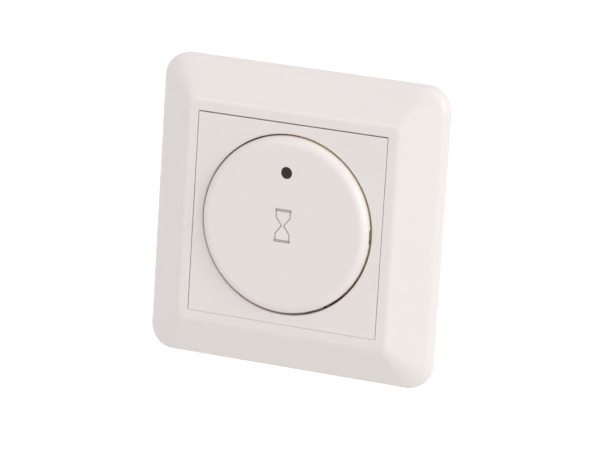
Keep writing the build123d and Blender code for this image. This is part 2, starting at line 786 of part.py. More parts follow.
with BuildPart() as varistor:
    with BuildSketch(Plane.XY.offset(varistor_z - varistor_thickness / 2)):
        with Locations((varistor_x, varistor_radius - power_back)):
            Circle(varistor_radius)
    extrude(amount=varistor_thickness)
varistor.part.label = "varistor"
export_step(varistor.part, "parts/varistor.step")

with BuildPart() as fuse:
    with BuildSketch(at_height(power_back - fuse_height)):
        with Locations((fuse_x, fuse_z)):
            Circle(fuse_radius)
    extrude(amount=fuse_height)
fuse.part.label = "fuse"
export_step(fuse.part, "parts/fuse.step")

with BuildPart() as supply_resistor:
    resistor_axis = power_back - resistor_radius
    lead_end = resistor_length / 2 + resistor_radius
    with BuildSketch(Plane.YZ.offset(resistor_x - resistor_length / 2)):
        with Locations((-resistor_axis, resistor_z)):
            Circle(resistor_radius)
    extrude(amount=resistor_length)
    with BuildSketch(Plane.YZ.offset(resistor_x - lead_end)):
        with Locations((-resistor_axis, resistor_z)):
            Circle(resistor_lead_radius)
    extrude(amount=2 * lead_end)
    with BuildSketch(at_height(resistor_axis)):
        with Locations((resistor_x - lead_end, resistor_z), (resistor_x + lead_end, resistor_z)):
            Circle(resistor_lead_radius)
    extrude(amount=resistor_radius)
supply_resistor.part.label = "supply_resistor"
export_step(supply_resistor.part, "parts/supply_resistor.step")

# Terminal block: one chamber for each wire, with a wire hole behind and a screw well below
with BuildPart() as terminal_block:
    with BuildSketch(at_height(block_back)):
        with Locations((0, (block_top + block_bottom) / 2)):
            Rectangle(block_width, block_top - block_bottom)
    extrude(amount=power_back - block_back)
    with BuildSketch(at_height(chamber_back)):
        with Locations(*clamp_points):
            Rectangle(clamp_width + 2 * clamp_gap, clamp_drop + 2 * clamp_gap)
    extrude(amount=power_back - chamber_back, mode=Mode.SUBTRACT)
    with BuildSketch(at_height(block_back)):
        with Locations(*wire_points):
            Circle(wire_funnel_radius)
    extrude(amount=block_back_wall, mode=Mode.SUBTRACT)
    with BuildSketch(Plane.XY.offset(block_bottom)):
        with Locations(*driver_points):
            Circle(terminal_head_radius + terminal_well_gap)
    extrude(amount=clamp_bottom - block_bottom, mode=Mode.SUBTRACT)
terminal_block.part.label = "terminal_block"
export_step(terminal_block.part, "parts/terminal_block.step")

# Terminal clamps: brass cages with a wire way, a screw hole and a solder pin through the power board
with BuildPart() as terminal_clamps:
    with BuildSketch(at_height(clamp_back)):
        with Locations(*clamp_points):
            Rectangle(clamp_width, clamp_drop)
    extrude(amount=clamp_length)
    with BuildSketch(at_height(clamp_back)):
        with Locations(*wire_points):
            Circle(wire_radius)
    extrude(amount=clamp_length - clamp_roof, mode=Mode.SUBTRACT)
    with BuildSketch(Plane.XY.offset(clamp_bottom)):
        with Locations(*driver_points):
            Circle(terminal_screw_radius + screw_fit)
    extrude(amount=wire_z - clamp_bottom, mode=Mode.SUBTRACT)
    with BuildSketch(at_height(clamp_front)):
        with Locations(*wire_points):
            Rectangle(solder_pin_side, solder_pin_side)
    extrude(amount=power_front - clamp_front + pin_overhang)
terminal_clamps.part.label = "terminal_clamps"
export_step(terminal_clamps.part, "parts/terminal_clamps.step")

# Terminal screws, driven from below through the housing wall
with BuildPart() as terminal_screws:
    with BuildSketch(Plane.XY.offset(head_top)):
        with Locations(*driver_points):
            Circle(terminal_screw_radius)
    extrude(amount=screw_tip - head_top)
    with BuildSketch(Plane.XY.offset(head_top - terminal_head_height)):
        with Locations(*driver_points):
            Circle(terminal_head_radius)
    extrude(amount=terminal_head_height)
    with BuildSketch(Plane.XY.offset(head_top - terminal_head_height)):
        with Locations(*driver_points):
            Rectangle(2 * terminal_head_radius, screw_slot_width)
            Rectangle(screw_slot_width, 2 * terminal_head_radius)
    extrude(amount=terminal_slot_depth, mode=Mode.SUBTRACT)
terminal_screws.part.label = "terminal_screws"
export_step(terminal_screws.part, "parts/terminal_screws.step")
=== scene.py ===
"""The looks of a ventilation boost timer for a wall box, and the small studio that it is shown in.

Everything is in metres, in the frame of the packed model: X to the right, Z up and -Y out of the wall.
A "height" is a distance in front of the wall plane, so it is -Y. "Across" is a distance from the middle
of the frame along X or Z.
"""

import json
from math import asin, atan2, cos, pi, radians, sin, sqrt, tan

import bmesh
import bpy
import numpy as np
from mathutils import Matrix, Vector


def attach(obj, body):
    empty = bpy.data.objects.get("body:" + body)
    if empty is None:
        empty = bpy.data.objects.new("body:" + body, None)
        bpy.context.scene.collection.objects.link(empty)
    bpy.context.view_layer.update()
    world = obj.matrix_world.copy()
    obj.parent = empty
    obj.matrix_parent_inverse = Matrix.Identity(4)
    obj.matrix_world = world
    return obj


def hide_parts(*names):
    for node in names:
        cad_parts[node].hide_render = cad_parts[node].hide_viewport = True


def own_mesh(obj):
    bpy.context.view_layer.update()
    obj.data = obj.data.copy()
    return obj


bl_info = {
    "name": "Ventilation boost timer",
    "version": (1, 0, 0),
    "blender": (4, 5, 0),
    "location": "3D View > Sidebar > Timer",
    "description": "Builds the visible pieces of a ventilation boost timer and a small studio round it",
    "category": "Object",
}

MM = 0.001
TINY = 1e-9
WHITE = (1, 1, 1, 1)

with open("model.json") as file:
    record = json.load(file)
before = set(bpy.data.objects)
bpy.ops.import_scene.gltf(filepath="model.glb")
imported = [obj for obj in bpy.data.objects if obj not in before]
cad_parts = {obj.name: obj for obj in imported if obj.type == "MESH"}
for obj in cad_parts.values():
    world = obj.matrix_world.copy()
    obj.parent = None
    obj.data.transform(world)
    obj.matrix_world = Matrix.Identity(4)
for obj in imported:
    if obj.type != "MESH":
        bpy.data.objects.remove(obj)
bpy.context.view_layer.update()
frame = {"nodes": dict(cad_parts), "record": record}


# Helpers for sizes and colours
def linear(code):
    """Turns an sRGB colour written as #RRGGBB into linear red, green, blue and full alpha."""
    shares = [int(code[i : i + 2], 16) / 255 for i in (1, 3, 5)]
    return [s / 12.92 if s <= 0.04045 else ((s + 0.055) / 1.055) ** 2.4 for s in shares] + [1.0]


def length(name, millimetres, description):
    """A size that is shown as a length, with its default given in millimetres."""
    return bpy.props.FloatProperty(
        name=name, description=description, default=millimetres * MM, unit="LENGTH", precision=5
    )


def angle(name, degrees, description):
    """An angle, with its default given in degrees."""
    return bpy.props.FloatProperty(
        name=name, description=description, default=radians(degrees), subtype="ANGLE", precision=4
    )


def shade(name, code, description):
    """A colour with its default given as an sRGB hex value."""
    return bpy.props.FloatVectorProperty(
        name=name, description=description, default=linear(code), size=4, min=0, max=1, subtype="COLOR"
    )


# Sizes and colours that a user would change
class TimerFrameSizes(bpy.types.PropertyGroup):
    """Sizes of the cover frame."""

    side: length("Side", 85.0, "Outer side of the square cover frame")
    height: length("Height", 9.8, "Front of the flat land above the wall")
    wall: length("Wall", 1.8, "Thickness of the hollow border")
    corner: length("Corner radius", 7.0, "Radius of the outer corners, seen from the front")
    shoulder: length("Shoulder height", 3.2, "Where the slope would meet the side wall")
    shoulder_round: length("Shoulder radius", 3.0, "Rounding between side wall and slope")
    crest: length("Crest", 31.35, "From the middle to where the slope would meet the land")
    crest_corner: length("Crest corner", 1.5, "Corner radius at the crest, seen from the front")
    crest_round: length("Crest radius", 3.0, "Rounding between slope and land")
    opening: length("Opening", 28.4, "From the middle to the edge of the opening")
    ledge: length("Ledge", 27.1, "From the middle to the edge of the ledge behind the opening")
    ledge_front: length("Ledge front", 7.8, "Height of the ledge that carries the centre plate")
    ledge_back: length("Ledge back", 6.3, "Height of the back of the ledge")
    rib_inner: length("Rib start", 35.65, "From the middle to the inner end of a rib")
    rib_outer: length("Rib end", 41.6, "From the middle to the outer end of a rib, inside the wall")
    rib_offset: length("Rib offset", 20.0, "Each border's two ribs stand this far from its middle")
    rib_thickness: length("Rib thickness", 1.2, "Thickness of a rib")
    rib_back: length("Rib back", 0.6, "Height of a rib's back edge")
    rib_front: length("Rib front", 3.0, "Height of a rib's front edge")


class TimerPlateSizes(bpy.types.PropertyGroup):
    """Sizes of the centre plate."""

    half_side: length("Half side", 28.22, "From the middle to the edge of the plate")
    sag: length("Sag", 0.15, "How low the plate hangs in the play of its opening")
    front: length("Front", 9.8, "Height of the plate's face")
    back: length("Back", 7.8, "Height of the plate's back")
    edge: length("Edge radius", 0.22, "Rounding of the plate's outer edge")
    well_edge: length("Well edge radius", 0.45, "Rounding of the well's front edge")
    well: length("Well radius", 25.35, "Radius of the button's well")
    collar: length("Collar radius", 26.55, "Outer radius of the collar round the well")
    collar_back: length("Collar back", 5.0, "Height of the collar's lower end")
    leg_inner: length("Leg start", 26.35, "From the middle to the inner face of a leg")
    leg_thickness: length("Leg thickness", 1.2, "Thickness of a snap leg")
    leg_width: length("Leg width", 6.0, "Width of a snap leg")
    leg_back: length("Leg end", -1.3, "Height of a leg's end, behind the yoke")
    hook_front: length("Hook top", -0.1, "Height of the top of a leg's hook")
    hook_reach: length("Hook reach", 0.9, "How far a hook stands out from its leg")


class TimerButtonSizes(bpy.types.PropertyGroup):
    """Sizes of the push button."""

    radius: length("Radius", 24.85, "Radius of the push button")
    face: length("Face", 12.08, "Height of the button's face")
    face_back: length("Face back", 10.3, "Height of the back of the face")
    rim: length("Rim radius", 2.5, "Rounding of the button's rim")
    back: length("Back", 3.85, "Height of the lower end of the skirt")
    inner: length("Inner radius", 23.35, "Inner radius of the skirt")
    hole_offset: length("Hole offset", 14.9, "LED hole above the middle")
    hole: length("Hole radius", 1.7, "Radius of the LED hole")
    seat: length("Seat radius", 2.2, "Radius of the lens seat")
    seat_front: length("Seat height", 11.0, "Height of the lens seat")
    boss: length("Boss radius", 3.0, "Outer radius of the boss round the lens")
    boss_back: length("Boss back", 9.6, "Height of the boss's lower end")
    notch_half: length("Notch half width", 1.9, "Half the width of the pry notch")
    notch_floor: length("Notch floor", 23.85, "From the middle to the floor of the pry notch")
    notch_low: length("Notch low", 7.7, "Height of the notch's lower edge")
    notch_high: length("Notch high", 10.0, "Height of the notch's upper edge")
    stem: length("Stem radius", 2.0, "Radius of the stem that presses the switch")
    stem_back: length("Stem end", 4.85, "Height of the stem's tip")
    rib_back: length("Rib back", 8.8, "Height of the ribs' and posts' lower edge")
    rib_thickness: length("Rib thickness", 1.0, "Thickness of the ribs behind the face")
    post: length("Post radius", 1.4, "Radius of the spring posts")
    post_offset: length("Post offset", 12.5, "Posts from the middle, along X and along Z")
    hook_outer: length("Hook end", 25.85, "From the middle to the outer end of a hook")
    hook_width: length("Hook width", 5.0, "Width of a hook")
    hook_thickness: length("Hook thickness", 1.0, "Thickness of a hook")


class TimerLensSizes(bpy.types.PropertyGroup):
    """Sizes of the smoked lens."""

    radius: length("Radius", 2.15, "Radius of the lens behind the face")
    nose: length("Nose radius", 1.65, "Radius of the nose in the LED hole")
    back: length("Back", 9.8, "Height of the back of the lens")
    step: length("Step", 11.0, "Height of the step between lens and nose")
    front: length("Front", 11.6, "Height of the nose's edge")
    dish: length("Dish", 0.4, "How deep the middle of the nose lies below its edge")


class TimerSymbolSizes(bpy.types.PropertyGroup):
    """Sizes of the printed hourglass."""

    line: length("Line", 0.3, "Width of a printed line")
    ink: length("Ink", 0.02, "Thickness of the print, above the face and below it")
    aside: length("Aside", -0.12, "Middle of the symbol to the right of the middle of the button")
    rise: length("Rise", 0.05, "Middle of the symbol above the middle of the button")
    half_width: length("Half width", 2.25, "From the middle to the ends of the bars")
    half_height: length("Half height", 4.53, "From the middle to the outer line of a bar")
    bar: length("Bar height", 0.42, "Height of the two bars")
    glass: length("Glass half width", 2.1, "From the middle to the straight sides of the glass")
    bend: length("Bend", 2.3, "From the middle to where the straight sides turn in")
    neck: length("Neck", 0.32, "Half the gap at the neck")


class TimerSpringSizes(bpy.types.PropertyGroup):
    """Sizes of the return springs."""

    coil: length("Coil radius", 1.9, "Radius of the coil, to the middle of the wire")
    wire: length("Wire radius", 0.2, "Radius of the spring wire")
    low: length("Low end", 2.45, "Height of the wire's lower end")
    high: length("High end", 10.05, "Height of the wire's upper end")
    turns: bpy.props.IntProperty(name="Turns", description="Turns of one spring", default=7, min=1)


class TimerColours(bpy.types.PropertyGroup):
    """Colours of the visible finishes."""

    shell: shade("Shell", "#E9E4E2", "Cover frame, centre plate and push button")
    print_grey: shade("Print", "#9A9592", "Printed hourglass")
    # Dark brown: the lens's own smoke, and also painted shade for the depth of the LED hole
    lens: shade("Lens", "#382B21", "Smoked lens over the LED")
    case: shade("Case", "#3A3B3D", "Rear housing and its cover")
    floor: shade("Floor", "#F2F1F0", "Studio floor")


class TimerStudioSizes(bpy.types.PropertyGroup):
    """Camera, floor and even light of the studio."""

    azimuth: angle("Azimuth", 22.8, "How far the camera stands to the right of straight in front")
    elevation: angle("Elevation", 12.73, "How far the camera stands above level")
    roll: angle("Roll", 3.58, "How far the camera is turned about its own line of sight")
    distance: length("Distance", 1159.0, "From the middle of the frame to the camera")
    aside: length("Aside", -0.15, "How far the camera is moved to its own right")
    rise: length("Rise", -1.84, "How far the camera is moved up in its own plane")
    lens: bpy.props.FloatProperty(
        name="Lens", description="Focal length in millimetres", default=250.97, min=1, unit="CAMERA"
    )
    floor_level: length("Floor level", -160.0, "Floor above the middle of the frame")
    floor_reach: length("Floor reach", 6000.0, "From the middle to the edges of the floor")
    floor_lift: bpy.props.FloatProperty(
        name="Floor lift", description="Glow that turns the pale floor white", default=0.3, min=0
    )
    dome: bpy.props.FloatProperty(
        name="Dome", description="Strength of the even light on the object", default=0.71, min=0
    )


GROUPS = {
    "timer_frame": TimerFrameSizes,
    "timer_plate": TimerPlateSizes,
    "timer_button": TimerButtonSizes,
    "timer_lens": TimerLensSizes,
    "timer_symbol": TimerSymbolSizes,
    "timer_springs": TimerSpringSizes,
    "timer_colours": TimerColours,
    "timer_studio": TimerStudioSizes,
}


# Surfaces
SUPPORT = 0.25 * MM


def rounded_profile(corners, steps):
    """Closed profile with rounded corners.

    Each corner is (across, height, value, radius). At a corner with directions a and b to its
    neighbours and an angle g between them, the arc starts radius / tan(g / 2) away from the corner. Its
    middle lies radius / sin(g / 2) along a + b, and its points turn evenly from one end to the other. A
    support point on each side of the arc, half the radius away but no farther than SUPPORT, keeps the
    flats flat when they are shaded. The value runs evenly along the edges. Returns across, height and
    value, one entry per point.
    """
    corners = np.array(corners, float)
    here, value, radius = corners[:, :2], corners[:, 2], corners[:, 3]
    ways, slopes = [], []
    for turn in (1, -1):
        edge = np.roll(here, turn, axis=0) - here
        size = np.linalg.norm(edge, axis=1)
        ways.append(edge / size[:, None])
        slopes.append((np.roll(value, turn) - value) / size)
    gap = np.arccos(np.clip((ways[0] * ways[1]).sum(1), -1, 1))
    reach = radius / np.tan(gap / 2)
    bisector = ways[0] + ways[1]
    bisector /= np.linalg.norm(bisector, axis=1)[:, None]
    middle = here + bisector * (radius / np.sin(gap / 2))[:, None]
    start, end = [here + way * reach[:, None] - middle for way in ways]
    share = np.linspace(0, 1, steps + 1)[None, :, None]
    turn = (pi - gap)[:, None, None]
    arc = np.sin((1 - share) * turn) * start[:, None] + np.sin(share * turn) * end[:, None]
    arc = arc / np.sin(turn) + middle[:, None]
    support = np.minimum(radius / 2, SUPPORT)
    before = here + ways[0] * (reach + support)[:, None]
    after = here + ways[1] * (reach + support)[:, None]
    points = np.concatenate([before[:, None], arc, after[:, None]], axis=1)
    first, last = [value + slope * reach for slope in slopes]
    values = np.concatenate(
        [
            (value + slopes[0] * (reach + support))[:, None],
            first[:, None] + (last - first)[:, None] * share[..., 0],
            (value + slopes[1] * (reach + support))[:, None],
        ],
        axis=1,
    )
    return points[..., 0].ravel(), points[..., 1].ravel(), values.ravel()


def rounded_squares(across, corner, steps):
    """Rings of points, one row per ring: straight sides at across, with corners of the given radius.

    A corner's arc has its middle at across - corner along X and Z. A support point lies on the side,
    half a millimetre before and after each arc.
    """
    turn = np.linspace(0, pi / 2, steps + 1)
    turn = (turn + (pi / 2) * np.arange(4)[:, None])[None]
    sign_x = np.array([1, -1, -1, 1])[None, :, None]
    sign_z = np.array([1, 1, -1, -1])[None, :, None]
    middle = (across - corner)[:, None, None]
    x = sign_x * middle + corner[:, None, None] * np.cos(turn)
    z = sign_z * middle + corner[:, None, None] * np.sin(turn)
    side = 0.5 * MM
    first, last = turn[..., :1], turn[..., -1:]
    x = np.concatenate([x[..., :1] + side * np.sin(first), x, x[..., -1:] - side * np.sin(last)], axis=2)
    z = np.concatenate([z[..., :1] - side * np.cos(first), z, z[..., -1:] + side * np.cos(last)], axis=2)
    return x.reshape(len(across), -1), z.reshape(len(across), -1)


def stand(x, z, height):
    """Points from rings of X and Z and one height for each ring."""
    return np.stack([x, np.broadcast_to(-height[:, None], x.shape), z], axis=-1)


def skin(rows, loop):
    """Quads between neighbouring rows of points, each of which is a ring.

    With loop, the last row joins the first. Without it, one face closes each end.
    """
    count, width = rows.shape[:2]
    ring = np.arange(width)
    beside = (ring + 1) % width
    row = np.arange(count if loop else count - 1)[:, None]
    here, after = row * width, (row + 1) % count * width
    quads = np.stack([here + ring, here + beside, after + beside, after + ring], axis=-1)
    faces = quads.reshape(-1, 4).tolist()
    if not loop:
        faces += [ring[::-1].tolist(), (ring + (count - 1) * width).tolist()]
    return rows.reshape(-1, 3), faces


def disc_outline(x, z, radius, count=48):
    """Points evenly round a circle."""
    turn = np.linspace(0, 2 * pi, count, endpoint=False)
    return np.stack([x + radius * np.cos(turn), z + radius * np.sin(turn)], axis=-1)


def box_outline(start, end, width, turn, shift=0.0):
    """Corners of a rectangle from start to end along a ray at an angle, moved sideways by shift."""
    along = np.array([start, end, end, start])
    aside = np.array([-1, -1, 1, 1]) * width / 2 + shift
    return np.stack([along * cos(turn) - aside * sin(turn), along * sin(turn) + aside * cos(turn)], axis=-1)


def pillar(outline, low, high):
    """An outline carried straight from one height to another, and closed at both ends."""
    x = np.broadcast_to(outline[:, 0], (2, len(outline)))
    z = np.broadcast_to(outline[:, 1], (2, len(outline)))
    return skin(stand(x, z, np.array([low, high])), loop=False)


def printed_line(path, width, low, high, loop=False):
    """A flat ribbon along a path of X and Z: at each point its two edges stand half a width out along
    the mitre of the two runs that meet there."""
    path = np.array(path, float)
    run = np.roll(path, -1, axis=0) - path
    run /= np.linalg.norm(run, axis=1)[:, None] + TINY
    back = np.roll(run, 1, axis=0)
    if not loop:
        run[-1] = run[-2]
        back[0] = run[0]
    mean = run + back
    mean /= np.linalg.norm(mean, axis=1)[:, None]
    out = np.stack([-mean[:, 1], mean[:, 0]], axis=-1) / (mean * run).sum(1)[:, None] * width / 2
    edge = np.stack([path + out, path - out, path - out, path + out], axis=1)
    height = np.broadcast_to(np.array([high, high, low, low]), edge.shape[:2])
    return skin(np.stack([edge[..., 0], -height, edge[..., 1]], axis=-1), loop)


def wire(path, radius, sides):
    """A round wire along a path: each ring stands square to the path, round two directions u and v with
    u x v along it."""
    run = np.gradient(path, axis=0)
    run /= np.linalg.norm(run, axis=1)[:, None]
    u = np.cross(run, [0.0, 1.0, 0.0])
    u /= np.linalg.norm(u, axis=1)[:, None]
    v = np.cross(run, u)
    turn = np.linspace(0, 2 * pi, sides, endpoint=False)[None, :, None]
    return skin(path[:, None] + radius * (np.cos(turn) * u[:, None] + np.sin(turn) * v[:, None]), loop=False)


# Pieces
# Painted warm shade in narrow gaps, standing for the light that bounces about in them: the depth over
# which it grows, and its share. Round the button it starts at RING_START below the face, so that the
# rim's lower side above the plate is painted shaded too.
SEAM = {"fade": 0.25 * MM, "share": 0.35}
RING = {"fade": 1.1 * MM, "share": 1.0}
RING_START = 1.2 * MM
# Faces that meet at more than SHARP are shaded with an edge, and at more than ROUNDED get a bevel
SHARP, ROUNDED = radians(35), radians(40)
# A finished copy merges points nearer than MERGED, and joins faces that turn by less than FLAT
MERGED, FLAT = 0.002 * MM, radians(0.5)


def body_of(node):
    """Body that a CAD node belongs to."""
    return next(body for body, nodes in frame["record"]["behaviour"]["bodies"].items() if node in nodes)


def new_piece(name, shells, look, replaced=(), gap=None):
    """One object from several closed shells, riding on the body of the node that it replaces.

    gap gives low, high, reach, fade and share: walls above low and within reach of the middle lie in a
    gap. Their point attribute, the share of painted warm shade, goes from 0 at high to the share at a fade
    below it.
    """
    points, faces, shift = [], [], 0
    for shell_points, shell_faces in shells:
        points.append(shell_points)
        faces += [[corner + shift for corner in face] for face in shell_faces]
        shift += len(shell_points)
    points = np.concatenate(points)
    mesh = bpy.data.meshes.new(name)
    mesh.from_pydata(points, [], faces)
    mesh.update()
    # Painted shade: how much of the warm gap colour each point inside a gap gets
    if gap:
        x, y, z = points.T
        inside = (np.maximum(abs(x), abs(z)) < gap["reach"] + TINY) & (-y > gap["low"] - TINY)
        depth = np.clip((gap["high"] + y) / gap["fade"], 0, 1)
        in_gap = mesh.attributes.new("in_gap", "FLOAT", "POINT")
        in_gap.data.foreach_set("value", np.where(inside, gap["share"] * depth, 0.0))
    return settle(name, mesh, look, replaced)


def settle(name, mesh, look, replaced):
    """Links a mesh as an object with its material and body. One that replaces no node rides on the button."""
    mesh.materials.clear()
    mesh.materials.append(material(look))
    piece = bpy.data.objects.new(name, mesh)
    bpy.context.scene.collection.objects.link(piece)
    mesh.shade_smooth()
    mesh.set_sharp_from_angle(angle=SHARP)
    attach(piece, body_of(replaced[0]) if replaced else "button")
    if replaced:
        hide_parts(*replaced)
    return piece


def finished_copy(node, look, width):
    """A merged copy of a CAD node with its flat faces joined and its edges rounded by a two-step bevel."""
    mesh = frame["nodes"][node].data.copy()
    mesh.name = "finished_" + node
    work = bmesh.new()
    work.from_mesh(mesh)
    bmesh.ops.remove_doubles(work, verts=work.verts, dist=MERGED)
    bmesh.ops.dissolve_limit(work, angle_limit=FLAT, verts=work.verts, edges=work.edges)
    work.to_mesh(mesh)
    work.free()
    bevel = settle(mesh.name, mesh, look, (node,)).modifiers.new("Soft edges", "BEVEL")
    bevel.width = width
    bevel.segments = 2
    bevel.limit_method = "ANGLE"
    bevel.angle_limit = ROUNDED
    bevel.harden_normals = True


# Materials
# Each look gives the record's slot, the colour, the roughness, and what its making does to the surface.
# grain and relief are the size and depth of its bumps in millimetres, and mottle is the share by which
# its colour changes across it.
LOOKS = {
    # Injection-moulded ABS: warm white, half gloss, with the faint orange peel of a polished mould. In
    # narrow gaps its colour is painted warmer and a shade darker: painted shade for the light that has
    # bounced about there or come through the plastic
    "moulded_abs": dict(
        slot="white_plastic", own="shell", rough=0.31, grain=1.4, relief=0.0012, mottle=0.003, ior=1.54,
        # gap is the colour of the painted warm shade in narrow gaps
        gap="#E9DFD0",
    ),
    # Pad-printed ink: flat grey, duller than the plastic under it
    "pad_print_ink": dict(
        slot="white_plastic", own="print_grey", rough=0.6, grain=0.3, relief=0.001, mottle=0.05
    ),
    # Smoked polycarbonate, smooth: its dark brown is the lens's own smoke, and is also painted shade that
    # makes the LED hole read as a deep dot
    "smoked_polycarbonate": dict(
        slot="smoked_lens", own="lens", rough=0.3, grain=1.0, relief=0.001, mottle=0.05, ior=1.3
    ),
    # Glass-filled polyamide: dark grey and dull, with the fine spark-eroded grain of the mould
    "glass_filled_polyamide": dict(
        slot="housing_polyamide", own="case", rough=0.55, grain=0.35, relief=0.006, mottle=0.10
    ),
    # Spring wire: bright drawn steel
    "spring_steel": dict(
        slot="spring_steel", colour="#B9BABC", rough=0.28, grain=0.2, relief=0.001, mottle=0.06, metal=1.0
    ),
    # Zinc-plated steel sheet: cool grey with soft cloudy patches from the plating bath, over the fine
    # level lines that rolling left
    "zinc_plated_steel": dict(
        slot="zinc_plated_steel", colour="#A6ABAF", rough=0.38, grain=0.5, relief=0.004, mottle=0.16,
        metal=1.0, rolled=16.0,
    ),
    # Solder mask on glass epoxy: deep green and glossy, with copper tracks that stand out a shade lighter
    "solder_mask": dict(
        slot="circuit_board", colour="#17503A", rough=0.30, grain=0.8, relief=0.002, mottle=0.06,
        tracks="#236248",
    ),
    # Natural nylon: milky off-white
    "natural_nylon": dict(slot="nylon", colour="#DEDACB", rough=0.45, grain=0.5, relief=0.002, mottle=0.04),
    # Black moulded parts: dull black with light flow marks
    "black_moulding": dict(
        slot="black_plastic", colour="#1D1D1F", rough=0.48, grain=0.3, relief=0.003, mottle=0.15
    ),
    # The switch's plunger: the same black, rubbed a little smoother by the stem
    "black_plunger": dict(
        slot="switch_plunger", colour="#232325", rough=0.40, grain=0.3, relief=0.002, mottle=0.12
    ),
    # Gold-flashed pins: pale yellow metal
    "gold_flash": dict(
        slot="gold_pins", colour="#D9B65F", rough=0.25, grain=0.2, relief=0.001, mottle=0.06, metal=1.0
    ),
    # LED epoxy: diffused red that lets some light through
    "diffused_epoxy": dict(
        slot="led_epoxy", colour="#B3261E", rough=0.25, grain=0.4, relief=0.001, mottle=0.05, clear=0.3
    ),
    # Trimmer body, moulded polyester: plain mid blue, half dull
    "blue_moulding": dict(
        slot="trimmer_blue", colour="#1F4FA3", rough=0.40, grain=0.4, relief=0.002, mottle=0.08
    ),
    # Trimmer rotor, moulded acetal: clean white that stands out from the blue
    "white_moulding": dict(
        slot="trimmer_white", colour="#E4E2DC", rough=0.40, grain=0.4, relief=0.002, mottle=0.04
    ),
    # Relay case, moulded polyester: a lighter blue with a slight shine
    "relay_case": dict(
        slot="relay_case", colour="#24589A", rough=0.34, grain=0.6, relief=0.003, mottle=0.08
    ),
    # Film capacitor: yellow box with resin
    "capacitor_box": dict(
        slot="capacitor_box", colour="#D8A826", rough=0.38, grain=0.5, relief=0.003, mottle=0.07
    ),
    # Shrink sleeve: black film over an aluminium can
    "shrink_sleeve": dict(
        slot="capacitor_sleeve", colour="#202226", rough=0.30, grain=0.8, relief=0.004, mottle=0.10
    ),
    # Dipped epoxy: blue and lumpy
    "dipped_epoxy": dict(
        slot="varistor_coating", colour="#2C62A8", rough=0.35, grain=1.6, relief=0.03, mottle=0.10
    ),
    # Fuse case, moulded phenolic: dark brown with a dull skin
    "fuse_case": dict(slot="fuse_case", colour="#5A3A22", rough=0.42, grain=0.4, relief=0.002, mottle=0.10),
    # Resistor lacquer: beige
    "resistor_lacquer": dict(
        slot="resistor_coating", colour="#C9AE86", rough=0.35, grain=0.6, relief=0.006, mottle=0.08
    ),
    # Unfilled polyamide of the terminal block: light grey
    "light_polyamide": dict(
        slot="terminal_plastic", colour="#B9BBBA", rough=0.45, grain=0.35, relief=0.003, mottle=0.05
    ),
    # Turned brass: yellow metal with fine tool marks
    "turned_brass": dict(
        slot="brass", colour="#C9A55A", rough=0.27, grain=0.15, relief=0.001, mottle=0.08, metal=1.0
    ),
}

# A patch of mottle is this many grains wide, and goes with roughness between these shares of the look's
MOTTLE_GRAINS = 14
SMOOTHEST, ROUGHEST = 0.9, 1.12

# Look and edge rounding, in millimetres, of each CAD node that gets a finished copy. The ones with no
# rounding stay as they are and only get the look.
CAD_LOOKS = {
    "rear_housing": ("glass_filled_polyamide", 0.35),
    "housing_cover": ("glass_filled_polyamide", 0.15),
    "mounting_yoke": ("zinc_plated_steel", 0.12),
    "housing_screws": ("zinc_plated_steel", 0.05),
    "terminal_block": ("light_polyamide", 0.15),
    "terminal_clamps": ("turned_brass", 0.08),
    "terminal_screws": ("zinc_plated_steel", 0.08),
    "control_board": ("solder_mask", 0.0),
    "power_board": ("solder_mask", 0.0),
    "board_spacers": ("natural_nylon", 0.1),
    "board_header": ("black_moulding", 0.08),
    "header_pins": ("gold_flash", 0.06),
    "tact_switch_body": ("black_moulding", 0.12),
    "tact_switch_plunger": ("black_plunger", 0.15),
    "indicator_led": ("diffused_epoxy", 0.05),
    "led_spacer": ("natural_nylon", 0.08),
    "time_trimmer_body": ("blue_moulding", 0.12),
    "time_trimmer_rotor": ("white_moulding", 0.08),
    "microcontroller": ("black_moulding", 0.05),
    "relay": ("relay_case", 0.25),
    "dropper_capacitor": ("capacitor_box", 0.25),
    "smoothing_capacitor": ("shrink_sleeve", 0.2),
    "bridge_rectifier": ("black_moulding", 0.15),
    "varistor": ("dipped_epoxy", 0.6),
    "fuse": ("fuse_case", 0.2),
    "supply_resistor": ("resistor_lacquer", 0.25),
}

# A mix node's float and colour sockets share their names, so the colour ones are given by number
MIX_FIRST, MIX_SECOND, MIX_RESULT = 6, 7, 2


def add(tree, kind, sockets=None, **settings):
    """Adds a node with its settings. sockets gives inputs, by name or number, a value or a link."""
    made = tree.nodes.new(kind)
    for name, value in settings.items():
        setattr(made, name, value)
    for name, value in (sockets or {}).items():
        if isinstance(value, bpy.types.NodeSocket):
            tree.links.new(value, made.inputs[name])
        else:
            made.inputs[name].default_value = value
    return made


